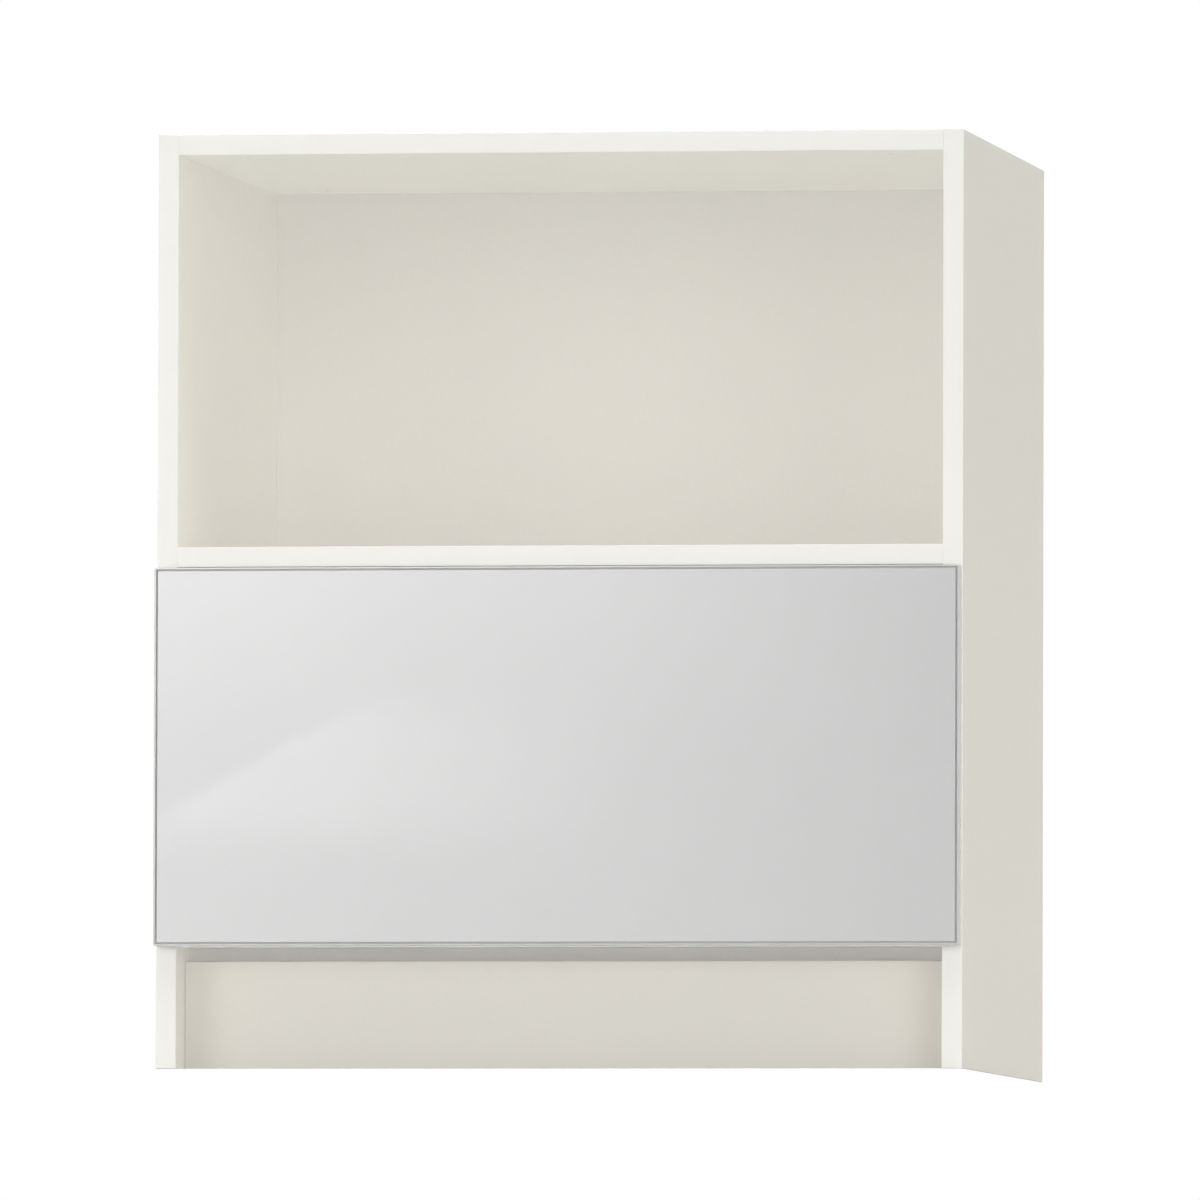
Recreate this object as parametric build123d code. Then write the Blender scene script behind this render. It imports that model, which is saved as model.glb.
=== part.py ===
from build123d import *
import os

# Microwave base cabinet: open niche over one wide handleless drawer, recessed kick between side
# panels that run to the floor.
# Frame: +X to the right as seen from the front, front faces -Y, +Z up. Millimetres.
# Origin: centre of the footprint, on the floor.

# ---------------------------------------------------------------- driving dimensions
WIDTH = 762.0            # overall width (30 in)
HEIGHT = 876.3           # floor to underside of a worktop (34.5 in)
DEPTH = 609.6            # overall depth with the drawer front (24 in)
BOARD = 19.05            # carcass board (3/4 in)
BAND = 1.0               # edge band thickness
FRONT_THICK = 19.05      # whole drawer front
BUMPER_GAP = 1.6         # drawer front's back to the carcass edges
KICK_SPACE = 114.3       # floor to underside of the deck (4.5 in)
KICK_HIGH = 101.6        # kick board height (4 in)
KICK_RECESS = 50.0       # kick board behind the carcass edges
FRONT_ZONE = 355.6       # drawer zone, deck underside to shelf underside (14 in)
NICHE_HIGH = 368.3       # clear niche height (14.5 in)
BACK_THICK = 6.35        # back and drawer bottom (1/4 in)
GROOVE_DEEP = 6.6
DECK_SETBACK = 25.05     # deck edge behind the carcass edges, so fingers reach the front's back
RAIL_HIGH = 95.25

BOX_WALL = 15.875        # drawer box board (5/8 in)
BOX_HIGH = 254.0
BOX_LONG = 533.4
BOX_LIFT = 12.7          # drawer box above the deck

SLIDE_LONG = 533.4
SLIDE_WIDE = 12.7
SLIDE_TALL = 45.7
SLIDE_Z = 241.3          # height of the slides' centre line
TRAVEL = 533.4           # full extension
SHEET = 1.2              # slide steel
BALL_R = 2.0
RUN_GAP = 0.05           # ball to race

EDGING = 1.5             # drawer front edging
GROOVE_WIDE = 1.7        # fine groove between edging and face
FACE_THICK = 2.0
LINER_THICK = 1.0
REVEAL_SIDE = 0.8
REVEAL_TOP = 1.2

# ---------------------------------------------------------------- derived places
XO = WIDTH / 2                       # outer face of a side panel
XI = XO - BOARD                      # inner face of a side panel
YF = -DEPTH / 2                      # drawer front's face
YB = DEPTH / 2                       # rear of the carcass
Y_FRONT_BACK = YF + FRONT_THICK      # drawer front's back
YC = Y_FRONT_BACK + BUMPER_GAP       # carcass front edges (face of the edge bands)
YP = YC + BAND                       # front of the boards
Z_DECK = KICK_SPACE
Z_SHELF = Z_DECK + FRONT_ZONE
Z_NICHE = Z_SHELF + BOARD
Z_TOP = Z_NICHE + NICHE_HIGH
Y_RAIL = YB - BOARD                  # front of the rear rails = rear of the back panel
Y_BACK = Y_RAIL - BACK_THICK         # face of the back panel
Y_DECK = YC + DECK_SETBACK           # deck's front edge
Y_KICK = YC + KICK_RECESS            # kick board's face
Y_KRAIL = Y_KICK + BOARD             # kick rail's face

CAM_IN = 34.0                        # cam centre from a board's end
CAM_R, CAM_BORE_R, CAM_BORE_DEEP = 7.4, 7.5, 13.6
HALF = BOARD / 2

os.makedirs("parts", exist_ok=True)


# ---------------------------------------------------------------- small helpers
def block(x0, x1, y0, y1, z0, z1):
    return Pos(x0, y0, z0) * Box(x1 - x0, y1 - y0, z1 - z0, align=(Align.MIN, Align.MIN, Align.MIN))


def rod(p, q, r):
    """Round bar from point p to point q."""
    a, b = Vector(*p), Vector(*q)
    d = b - a
    return Plane(origin=a, z_dir=d.normalized()) * Cylinder(
        r, d.length, align=(Align.CENTER, Align.CENTER, Align.MIN)
    )


def turned(points):
    """Solid of revolution about Z from (radius, z) points."""
    profile = Plane.XZ * make_face(Polyline([(r, z) for r, z in points], close=True))
    return revolve(profile, axis=Axis.Z, revolution_arc=360)


def at(p, out):
    """Places a fastener that is drawn with its head at z=0 facing +Z."""
    return Plane(origin=Vector(*p), z_dir=Vector(*out))


def cross_recess(size, slot, deep):
    return extrude(Rectangle(size, slot) + Rectangle(slot, size), amount=-deep, taper=14)


def flat_screw(length, grow=0.0, recess=True):
    """Countersunk screw, 4 mm shank, head flush at z=0, pointing down."""
    rs, rh, hh = 2.0 + grow, 3.9 + grow, 2.1 + grow
    s = turned([(0, grow), (rh, grow), (rh, -0.15), (rs, -hh), (rs, -length + 3), (0.5 + grow, -length - grow), (0, -length - grow)])
    return s - cross_recess(4.2, 0.9, 1.5) if recess else s


def pan_screw(length, grow=0.0, recess=True):
    """Pan head screw, 4.5 mm shank, head standing on z=0."""
    rs = 2.25 + grow
    s = turned([(0, 2.6), (2.2, 2.6), (3.4, 2.2), (4.0, 1.3), (4.1, 0), (rs, 0), (rs, -length + 3), (0.5 + grow, -length - grow), (0, -length - grow)])
    return s - Pos(0, 0, 2.6) * cross_recess(4.6, 1.0, 1.7) if recess else s


def as_list(shape):
    return list(shape.solids())


def cut(shape, tools):
    return shape - tools if tools else shape


def both(shape):
    """The shape and its mirror image on the other side of the cabinet."""
    return shape, mirror(shape, about=Plane.YZ)


def save(name, *shapes):
    solids = [s for shape in shapes for s in as_list(shape)]
    body = solids[0] if len(solids) == 1 else Compound(children=solids)
    export_step(body, f"parts/{name}.step")
    print(name, len(solids), "solids", round(sum(s.volume for s in solids), 1), "mm3")


# ---------------------------------------------------------------- knock-down joinery
# Each joint of a board end: cams and bolts at some places, dowels at others. A place is
# (y, z) of the bolt or dowel axis; face is the direction of the board face that holds the cam.
cams, bolts, dowels = [], [], []
side_cuts = []                 # for the right side panel, mirrored for the left
board_cuts = {}


def cam_joint(board, y, z, face):
    f = Vector(*face)
    for sx in (1, -1):
        xi, xc = sx * XI, sx * (XI - CAM_IN)
        on_face = (xc, y + f.Y * HALF, z + f.Z * HALF)
        board_cuts.setdefault(board, []).extend([
            rod((xi, y, z), (sx * (XI - CAM_IN + 2), y, z), 4.0),
            at(on_face, face) * Cylinder(CAM_BORE_R, CAM_BORE_DEEP, align=(Align.CENTER, Align.CENTER, Align.MAX)),
        ])
        cam = at(on_face, face) * (
            Pos(0, 0, -0.2) * (
                Cylinder(CAM_R, 13.0, align=(Align.CENTER, Align.CENTER, Align.MAX))
                - cross_recess(8.4, 1.8, 2.4)
                - Cylinder(1.9, 3.0, align=(Align.CENTER, Align.CENTER, Align.MAX))
                - (Cylinder(6.6, 0.35, align=(Align.CENTER, Align.CENTER, Align.MAX)) - Cylinder(5.6, 0.35, align=(Align.CENTER, Align.CENTER, Align.MAX)))
            )
        )
        cams.append(cam - rod((sx * (XI - CAM_IN - 1.5), y, z), (sx * (XI - CAM_IN + 8.5), y, z), 3.4))
        bolts.append(
            Plane(origin=Vector(xi, y, z), z_dir=Vector(-sx, 0, 0))
            * turned([(0, -11), (1.9, -11), (2.5, -10.2), (2.5, 0), (3.5, 0), (3.5, 25.6), (1.9, 26.4), (1.9, 31.4), (3.0, 32.2), (3.0, 34.4), (2.2, 35.2), (0, 35.2)])
        )
    side_cuts.append(rod((XI, y, z), (XI + 11.3, y, z), 2.55))


def dowel_joint(board, y, z):
    for sx in (1, -1):
        xi = sx * XI
        board_cuts.setdefault(board, []).append(rod((xi, y, z), (sx * (XI - 18.5), y, z), 4.0))
        dowels.append(
            Plane(origin=Vector(xi, y, z), z_dir=Vector(-sx, 0, 0))
            * turned([(0, -12.2), (3.1, -12.2), (3.95, -11.2), (3.95, 16.8), (3.1, 17.8), (0, 17.8)])
        )
    side_cuts.append(rod((XI, y, z), (XI + 12.9, y, z), 4.0))


UP, DOWN, REAR = (0, 0, 1), (0, 0, -1), (0, 1, 0)
z_top_axis, z_shelf_axis, z_deck_axis = Z_TOP + HALF, Z_SHELF + HALF, Z_DECK + HALF
y_rail_axis, y_krail_axis = Y_RAIL + HALF, Y_KRAIL + HALF
for y in (-216.0, 200.0):
    cam_joint("top", y, z_top_axis, UP)
    cam_joint("shelf", y, z_shelf_axis, DOWN)
for y in (-184.0, 200.0):
    cam_joint("deck", y, z_deck_axis, DOWN)
for y in (-252.0, -8.0, 236.0):
    dowel_joint("top", y, z_top_axis)
    dowel_joint("shelf", y, z_shelf_axis)
for y in (-220.0, 8.0, 236.0):
    dowel_joint("deck", y, z_deck_axis)
cam_joint("rail_top", y_rail_axis, Z_TOP - RAIL_HIGH / 2 - 16, REAR)
dowel_joint("rail_top", y_rail_axis, Z_TOP - RAIL_HIGH / 2 + 16)
cam_joint("rail_mid", y_rail_axis, Z_SHELF - RAIL_HIGH / 2 - 16, REAR)
dowel_joint("rail_mid", y_rail_axis, Z_SHELF - RAIL_HIGH / 2 + 16)
cam_joint("kick_rail", y_krail_axis, Z_DECK - RAIL_HIGH / 2 - 14, REAR)
dowel_joint("kick_rail", y_krail_axis, Z_DECK - RAIL_HIGH / 2 + 14)

# ---------------------------------------------------------------- slide screws, cabinet side
screw_y_cab = [YC + 2 + 37, YC + 2 + 37 + 224, YC + 2 + 37 + 448]
cab_screw, cab_screw_cut = flat_screw(14), flat_screw(14, grow=0.06, recess=False)
cab_screws = []
for y in screw_y_cab:
    side_cuts.append(at((XI - SHEET, y, SLIDE_Z), (-1, 0, 0)) * cab_screw_cut)
    cab_screws.append(at((XI - SHEET, y, SLIDE_Z), (-1, 0, 0)) * cab_screw)

# ---------------------------------------------------------------- carcass boards
back_z0, back_z1 = Z_DECK + BOARD - BACK_THICK, Z_TOP + BACK_THICK
back_slot = block(-XI - GROOVE_DEEP, XI + GROOVE_DEEP, Y_BACK - 0.125, Y_RAIL + 0.125, back_z0 - 0.25, back_z1 + 0.25)

side_board = block(XI, XO, YP, YB, 0, HEIGHT)
side_board = chamfer(side_board.edges().filter_by(Axis.Z).group_by(Axis.X)[-1].group_by(Axis.Y)[-1], 0.5)
side_right = cut(side_board, [back_slot] + side_cuts)
side_right, side_left = both(side_right)
save("side_panel_right", side_right)
save("side_panel_left", side_left)


def band_strip(x0, x1, y0, y1, z0, z1, along, r=0.7):
    """Edge strip with eased front arrises."""
    s = block(x0, x1, y0, y1, z0, z1)
    return fillet(s.edges().filter_by(along).group_by(Axis.Y)[0], r)


band_right, band_left = both(band_strip(XI, XO, YC, YP, 0, HEIGHT, Axis.Z))
save("side_edge_band_right", band_right)
save("side_edge_band_left", band_left)

worktop_holes = [
    rod((x, y, Z_TOP - 1), (x, y, HEIGHT + 1), 2.5) for x in (-304.8, 304.8) for y in (-228.6, 228.6)
]
save("top_panel", cut(block(-XI, XI, YP, YB, Z_TOP, HEIGHT), [back_slot] + worktop_holes + board_cuts["top"]))
save("top_edge_band", band_strip(-XI, XI, YC, YP, Z_TOP, HEIGHT, Axis.X))

save("niche_shelf", cut(block(-XI, XI, YP, Y_BACK, Z_SHELF, Z_NICHE), board_cuts["shelf"]))
save("shelf_edge_band", band_strip(-XI, XI, YC, YP, Z_SHELF, Z_NICHE, Axis.X))

save("bottom_panel", cut(block(-XI, XI, Y_DECK + BAND, YB, Z_DECK, Z_DECK + BOARD), [back_slot] + board_cuts["deck"]))
save("bottom_edge_band", band_strip(-XI, XI, Y_DECK, Y_DECK + BAND, Z_DECK, Z_DECK + BOARD, Axis.X))

WALL_X, WALL_Z = 203.2, Z_SHELF - 32.0
wall_holes = [rod((x, Y_BACK - 1, WALL_Z), (x, YB + 1, WALL_Z), 3.0) for x in (-WALL_X, WALL_X)]
save("back_panel", cut(block(-XI - BACK_THICK, XI + BACK_THICK, Y_BACK, Y_RAIL, back_z0, back_z1), wall_holes))
save("rear_rail_top", cut(block(-XI, XI, Y_RAIL, YB, Z_TOP - RAIL_HIGH, Z_TOP), board_cuts["rail_top"]))
save("rear_rail_middle", cut(block(-XI, XI, Y_RAIL, YB, Z_SHELF - RAIL_HIGH, Z_SHELF), wall_holes + board_cuts["rail_mid"]))

# kick board, fixed from behind through the kick rail
kick_at = [(x, Y_KRAIL + BOARD, 62.0) for x in (-290.0, -97.0, 97.0, 290.0)]
kick_cuts = [at(p, REAR) * pan_screw(31, grow=0.06, recess=False) for p in kick_at]
save("kick_rail", cut(block(-XI, XI, Y_KRAIL, Y_KRAIL + BOARD, Z_DECK - RAIL_HIGH, Z_DECK), board_cuts["kick_rail"] + kick_cuts))
kick = block(-XI + 0.5, XI - 0.5, Y_KICK, Y_KRAIL, 0, KICK_HIGH)
kick = fillet(kick.edges().filter_by(Axis.X).group_by(Axis.Y)[0].group_by(Axis.Z)[-1], 1.0)
save("kick_board", cut(kick, kick_cuts))
save("kick_screws", *[at(p, REAR) * pan_screw(31) for p in kick_at])

save("cam_locks", *cams)
save("cam_bolts", *bolts)
save("carcass_dowels", *dowels)
save("slide_screws_cabinet", *[s for one in cab_screws for s in both(one)])

# ---------------------------------------------------------------- drawer slides
# Section plane: u runs from the side panel's inner face (0) towards the drawer (12.7), v up from
# the slide's centre line. The right slide is drawn and mirrored.
RI, RO = BALL_R + RUN_GAP, BALL_R + RUN_GAP + SHEET
UA, VA = SHEET + RI, SLIDE_TALL / 2 - RO          # outer ball row
RACE = 0.15                                       # depth of a race groove
V_MID = VA - RI + RACE                            # top of the middle member
UB, VB = 8.0, V_MID - RO                          # inner ball row
V_IN = VB - RI + RACE                             # top of the inner member


def bar(u0, u1, v0, v1):
    return Pos((u0 + u1) / 2, (v0 + v1) / 2) * Rectangle(u1 - u0, v1 - v0)


def pair(u0, u1, v0, v1):
    return bar(u0, u1, v0, v1) + bar(u0, u1, -v1, -v0)


def curl(u, v, cut_at, u_from):
    """Curled race at (u, v): kept above cut_at and right of u_from."""
    ring = Pos(u, v) * (Circle(RO) - Circle(RI))
    ring -= bar(u - 9, u + 9, v - 9, cut_at)
    if u_from is not None:
        ring -= bar(u - 9, u_from, v - 9, v + 9)
    return ring


def prism(sketch, y0, y1):
    place = Plane(origin=(XI, y0, SLIDE_Z), x_dir=(-1, 0, 0), z_dir=(0, 1, 0))
    return extrude(place * sketch, amount=y1 - y0)


def flip(sketch):
    return mirror(sketch, about=Plane.XZ)


Y_OUT0, Y_OUT1 = YC + 2.0, YC + 2.0 + SLIDE_LONG
Y_MID0, Y_MID1 = Y_OUT0 + 0.5, Y_OUT0 + 530.5
Y_IN0, Y_IN1 = Y_OUT0 - 1.0, Y_OUT0 + 529.0

# outer member: web with a curled race at each end, stop tab at the front
lip_a = VA - 0.85
top_a = curl(UA, VA, lip_a, None) - bar(UA - RO - 1, UA - RI, VA - 9, VA)
outer_section = bar(0, SHEET, -VA, VA) + top_a + flip(top_a)
outer = prism(outer_section, Y_OUT0, Y_OUT1) + prism(bar(0.6, 1.9, -3, 3), Y_OUT0, Y_OUT0 + 1.5)
outer = cut(outer, [at((XI - SHEET, y, SLIDE_Z), (-1, 0, 0)) * cab_screw_cut for y in screw_y_cab])
outer_r, outer_l = both(outer)
save("slide_outer_right", outer_r)
save("slide_outer_left", outer_l)

# middle member: ribbed web, flanges that carry the outer balls on top and curl round the inner balls
lip_b = VB - 0.95
top_b = curl(UB, VB, lip_b, None) - bar(UB - 9, UB, VB - 9, VB + 9) + bar(2.3, UB, V_MID - SHEET, V_MID)
jog = make_face(Polyline([(2.3, 11.0), (3.5, 11.0), (4.9, 8.5), (3.7, 8.5)], close=True))
mid_section = (
    top_b + flip(top_b) + pair(2.3, 3.5, 11.0, V_MID - 0.1) + bar(3.7, 4.9, -8.5, 8.5) + jog + flip(jog)
)
mid_section -= Pos(UA, VA) * Circle(RI)
mid_section -= Pos(UA, -VA) * Circle(RI)
mid = prism(mid_section, Y_MID0, Y_MID1)
mid += prism(pair(1.5, 2.6, 12.0, 16.0), Y_MID1 - 1.5, Y_MID1)      # rear stops, towards the outer cage
mid += prism(bar(4.6, 5.6, -3, 3), Y_MID0, Y_MID0 + 1.5)            # front stop, towards the inner cage
mid_r, mid_l = both(mid)
save("slide_mid_right", mid_r)
save("slide_mid_left", mid_l)

# inner member, fixed to the drawer side
inner_section = bar(SLIDE_WIDE - SHEET, SLIDE_WIDE, -V_IN, V_IN) + pair(6.3, SLIDE_WIDE, V_IN - SHEET, V_IN)
inner_section -= Pos(UB, VB) * Circle(RI)
inner_section -= Pos(UB, -VB) * Circle(RI)
inner = prism(inner_section, Y_IN0, Y_IN1)
inner += prism(pair(5.3, 6.6, V_IN - SHEET, V_IN - 0.2), Y_IN1 - 1.5, Y_IN1)  # rear stops
screw_y_box = [Y_IN0 + 35, Y_IN0 + 323, Y_IN0 + 495]
box_screw, box_screw_cut = flat_screw(13), flat_screw(13, grow=0.06, recess=False)
X_BOX = XI - SLIDE_WIDE                                             # drawer side's outer face
box_places = [at((X_BOX + SHEET, y, SLIDE_Z), (1, 0, 0)) for y in screw_y_box]
PIVOT_Y = -60.0
rivet_hole = rod((X_BOX - 0.1, PIVOT_Y, SLIDE_Z), (X_BOX + SHEET + 0.1, PIVOT_Y, SLIDE_Z), 1.52)
inner = cut(inner, [p * box_screw_cut for p in box_places] + [rivet_hole])
inner_r, inner_l = both(inner)
save("slide_inner_right", inner_r)
save("slide_inner_left", inner_l)
save("slide_screws_drawer", *[s for p in box_places for s in both(p * box_screw)])


# ball cages and balls
def cage(y0, y1, u0, web, u1, v0, v1, ub, vb, hole_r, count):
    shape = prism(bar(u0, u0 + web, -v1, v1) + pair(u0, u1, v0, v1), y0, y1)
    pitch = (y1 - y0 - 24.0) / (count - 1)
    places = [y0 + 12.0 + i * pitch for i in range(count)]
    tools = []
    for y in places:
        for s in (1, -1):
            c = Vector(XI - ub, y, SLIDE_Z + s * (v0 + v1) / 2)
            tools.append(Pos(*c) * Cylinder(hole_r, (v1 - v0) + 0.4))
    balls = [Pos(XI - ub, y, SLIDE_Z + s * vb) * Sphere(BALL_R) for y in places for s in (1, -1)]
    return cut(shape, tools), balls


cage_a, balls_a = cage(-146.5, 112.5, 1.45, 0.5, 5.83, VA - 1.55, VA - 1.05, UA, VA, 1.95, 8)
cage_b, balls_b = cage(-146.0, 111.0, 5.2, 0.5, 10.5, VB - 1.65, VB - 1.15, UB, VB, 1.71, 8)
for label, c, balls in (("outer", cage_a, balls_a), ("inner", cage_b, balls_b)):
    c_r, c_l = both(c)
    save(f"ball_cage_{label}_right", c_r)
    save(f"ball_cage_{label}_left", c_l)
    save(f"balls_{label}_right", *balls)
    save(f"balls_{label}_left", *[mirror(b, about=Plane.YZ) for b in balls])

# release lever: bar with a ribbed thumb pad at the front and a hook at the back, turning on a rivet
side_plane = Plane(origin=(XI - 8.3, PIVOT_Y, SLIDE_Z), x_dir=(0, 1, 0), z_dir=(-1, 0, 0))
# in this plane local x runs rearwards (+Y) and local y runs down
profile = (
    Rectangle(76, 5.2)
    + Pos(-31, 0) * RectangleRounded(16, 12, 2.5)
    + Circle(4.6)
    + Pos(33, -2.4) * RectangleRounded(12, 8.4, 1.2)
)
lever = extrude(side_plane * profile, amount=2.6)
for i in range(5):
    lever -= rod((XI - 8.1, PIVOT_Y - 36.2 + 2.6 * i, SLIDE_Z - 7), (XI - 8.1, PIVOT_Y - 36.2 + 2.6 * i, SLIDE_Z + 7), 0.8)
lever -= rod((XI - 7, PIVOT_Y, SLIDE_Z), (XI - 12, PIVOT_Y, SLIDE_Z), 1.55)
save("release_lever_right", lever)
# the slides are not handed: the left one is the right one turned half round, so its hook points down
save("release_lever_left", Pos(0, 0, SLIDE_Z) * Rot(0, 180, 0) * Pos(0, 0, -SLIDE_Z) * lever)
rivet = rod((X_BOX + 0.05, PIVOT_Y, SLIDE_Z), (XI - 8.1, PIVOT_Y, SLIDE_Z), 1.5) + rod(
    (XI - 8.2, PIVOT_Y, SLIDE_Z), (XI - 7.4, PIVOT_Y, SLIDE_Z), 3.2
)
save("lever_rivets", *both(rivet))

# ---------------------------------------------------------------- drawer box
XB = X_BOX - BOX_WALL
Y0, Y1 = Y_FRONT_BACK, Y_FRONT_BACK + BOX_LONG
Z0 = Z_DECK + BOARD + BOX_LIFT
Z1 = Z0 + BOX_HIGH
ZB = Z1 - BAND
ZP = Z0 + 12.7                        # underside of the drawer bottom
bottom_slot = block(-XB - 6.35, XB + 6.35, Y0 + BOX_WALL - 6.35, Y1 - BOX_WALL + 6.35, ZP - 0.125, ZP + BACK_THICK + 0.125)

box_dowels, box_dowel_cuts = [], []
for y in (Y0 + BOX_WALL / 2, Y1 - BOX_WALL / 2):
    for z in (Z0 + 42.0, Z0 + 127.0, Z0 + 212.0):
        for sx in (1, -1):
            box_dowels.append(
                Plane(origin=Vector(sx * XB, y, z), z_dir=Vector(-sx, 0, 0))
                * turned([(0, -10.6), (3.1, -10.6), (3.95, -9.6), (3.95, 18.4), (3.1, 19.4), (0, 19.4)])
            )
            box_dowel_cuts.append(rod((sx * (XB + 11.2), y, z), (sx * (XB - 20.0), y, z), 4.0))

fix_at = [(x, Y0 + BOX_WALL, z) for x in (-254.0, 254.0) for z in (Z0 + 48.0, Z0 + 206.0)]
fix_cuts = [at(p, REAR) * pan_screw(28, grow=0.06, recess=False) for p in fix_at]

box_side = block(XB, X_BOX, Y0, Y1, Z0, ZB)
box_side = cut(box_side, [bottom_slot] + box_dowel_cuts + [p * box_screw_cut for p in box_places]
               + [rod((X_BOX + 0.1, PIVOT_Y, SLIDE_Z), (X_BOX - 2.0, PIVOT_Y, SLIDE_Z), 2.2)])
bs_r, bs_l = both(box_side)
save("drawer_side_right", bs_r)
save("drawer_side_left", bs_l)
save("drawer_box_front", cut(block(-XB, XB, Y0, Y0 + BOX_WALL, Z0, ZB), [bottom_slot] + box_dowel_cuts + fix_cuts))
save("drawer_box_back", cut(block(-XB, XB, Y1 - BOX_WALL, Y1, Z0, ZB), [bottom_slot] + box_dowel_cuts))
save("drawer_bottom", block(-XB - 6.1, XB + 6.1, Y0 + BOX_WALL - 6.1, Y1 - BOX_WALL + 6.1, ZP, ZP + BACK_THICK))


def top_band(x0, x1, y0, y1, along):
    s = block(x0, x1, y0, y1, ZB, Z1)
    return fillet(s.edges().filter_by(along).group_by(Axis.Z)[-1], 0.7)


save(
    "drawer_edge_bands",
    *both(top_band(XB, X_BOX, Y0, Y1, Axis.Y)),
    top_band(-XB, XB, Y0, Y0 + BOX_WALL, Axis.X),
    top_band(-XB, XB, Y1 - BOX_WALL, Y1, Axis.X),
)
save("drawer_dowels", *box_dowels)
save("front_fixing_screws", *[at(p, REAR) * pan_screw(28) for p in fix_at])

# ---------------------------------------------------------------- drawer front
FX = XO - REVEAL_SIDE
FZ0, FZ1 = Z_DECK, Z_SHELF - REVEAL_TOP
shell = block(-FX, FX, YF, Y_FRONT_BACK, FZ0, FZ1)
shell = fillet(shell.edges().filter_by(Axis.Y), 0.8)
shell = fillet(shell.edges().group_by(Axis.Y)[0], 0.5)
shell = fillet(shell.edges().group_by(Axis.Y)[-1], 0.5)
ring = shell - block(-FX + EDGING, FX - EDGING, YF - 1, Y_FRONT_BACK + 1, FZ0 + EDGING, FZ1 - EDGING)


def mitre_wedge(sx, sz, upright):
    """Region of one edging strip at the front's edge, bounded by the 45 degree mitres."""
    hx, hz, zc = FX, (FZ1 - FZ0) / 2, (FZ1 + FZ0) / 2
    if upright:
        pts = [(sx * (hx + 1), zc - hz - 1), (sx * (hx + 1), zc + hz + 1), (sx * (hx - 40), zc + hz - 40), (sx * (hx - 40), zc - hz + 40)]
    else:
        pts = [(-hx - 1, zc + sz * (hz + 1)), (hx + 1, zc + sz * (hz + 1)), (hx - 40, zc + sz * (hz - 40)), (-hx + 40, zc + sz * (hz - 40))]
    face = make_face(Polyline(pts, close=True))
    place = Plane(origin=(0, YF - 2, 0), x_dir=(1, 0, 0), z_dir=(0, -1, 0))
    return extrude(place * face, amount=-(FRONT_THICK + 4))


strips = [ring & mitre_wedge(1, 0, True), ring & mitre_wedge(-1, 0, True), ring & mitre_wedge(0, 1, False), ring & mitre_wedge(0, -1, False)]
save("drawer_front_edging", *strips)

IX, IZ0, IZ1 = FX - EDGING, FZ0 + EDGING, FZ1 - EDGING
core = block(-IX, IX, YF + FACE_THICK, Y_FRONT_BACK - LINER_THICK, IZ0, IZ1)
save("drawer_front_core", cut(core, fix_cuts))
save("drawer_front_liner", cut(block(-IX, IX, Y_FRONT_BACK - LINER_THICK, Y_FRONT_BACK, IZ0, IZ1), fix_cuts))
face = block(-IX + GROOVE_WIDE, IX - GROOVE_WIDE, YF, YF + FACE_THICK, IZ0 + GROOVE_WIDE, IZ1 - GROOVE_WIDE)
face = fillet(face.edges().filter_by(Axis.Y), 0.8)
face = fillet(face.edges().group_by(Axis.Y)[0], 0.35)
save("drawer_front_face", face)

bumper = turned([(0, 0), (4.75, 0), (4.75, 0.7), (4.3, 1.3), (3.6, 1.5), (0, 1.5)])
save(
    "drawer_bumpers",
    *[at((sx * (XI + HALF), Y_FRONT_BACK, z), REAR) * bumper for sx in (-1, 1) for z in (Z_DECK + 16.0, Z_SHELF - 18.0)],
)
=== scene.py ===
import math

import bmesh
import bpy
from mathutils import Matrix, Vector


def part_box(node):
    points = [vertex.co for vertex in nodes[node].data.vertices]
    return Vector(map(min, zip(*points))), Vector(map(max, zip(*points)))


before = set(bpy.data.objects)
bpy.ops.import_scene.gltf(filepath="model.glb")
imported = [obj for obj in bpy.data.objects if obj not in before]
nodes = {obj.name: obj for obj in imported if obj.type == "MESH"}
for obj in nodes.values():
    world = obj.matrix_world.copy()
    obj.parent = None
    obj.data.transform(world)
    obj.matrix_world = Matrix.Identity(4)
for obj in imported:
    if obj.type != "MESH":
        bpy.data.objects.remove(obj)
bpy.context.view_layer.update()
scene = bpy.context.scene


# ------------------------------------------------------------------ camera
# A long lens, a little to the right and a little below the middle, as the picture draws it.
AZIMUTH, ELEVATION, ROLL = 8.581, -2.621, 0.161        # degrees
DISTANCE, FOCAL = 19.353, 20392.1                      # metres; focal length in pixels of a 1200 frame
TARGET = Vector((-0.0039, 0.0, 0.4509))

a, e, r = (math.radians(x) for x in (AZIMUTH, ELEVATION, ROLL))
back = Vector((math.sin(a) * math.cos(e), -math.cos(a) * math.cos(e), math.sin(e)))
right = Vector((math.cos(a), math.sin(a), 0.0))
up = back.cross(right)
cam_x = right * math.cos(r) + up * math.sin(r)
cam_y = up * math.cos(r) - right * math.sin(r)
eye = TARGET + back * DISTANCE

cam_data = bpy.data.cameras.new("camera")
cam_data.sensor_width = 36.0
cam_data.lens = FOCAL * 36.0 / 1200.0
cam_data.clip_start, cam_data.clip_end = 0.5, 200.0
cam_data.dof.use_dof = False
camera = bpy.data.objects.new("camera", cam_data)
scene.collection.objects.link(camera)
camera.matrix_world = Matrix((
    (cam_x.x, cam_y.x, back.x, eye.x),
    (cam_x.y, cam_y.y, back.y, eye.y),
    (cam_x.z, cam_y.z, back.z, eye.z),
    (0.0, 0.0, 0.0, 1.0),
))
scene.camera = camera


# ------------------------------------------------------------------ colour and node helpers
def linear(v):
    v /= 255.0
    return v / 12.92 if v <= 0.04045 else ((v + 0.055) / 1.055) ** 2.4


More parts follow.
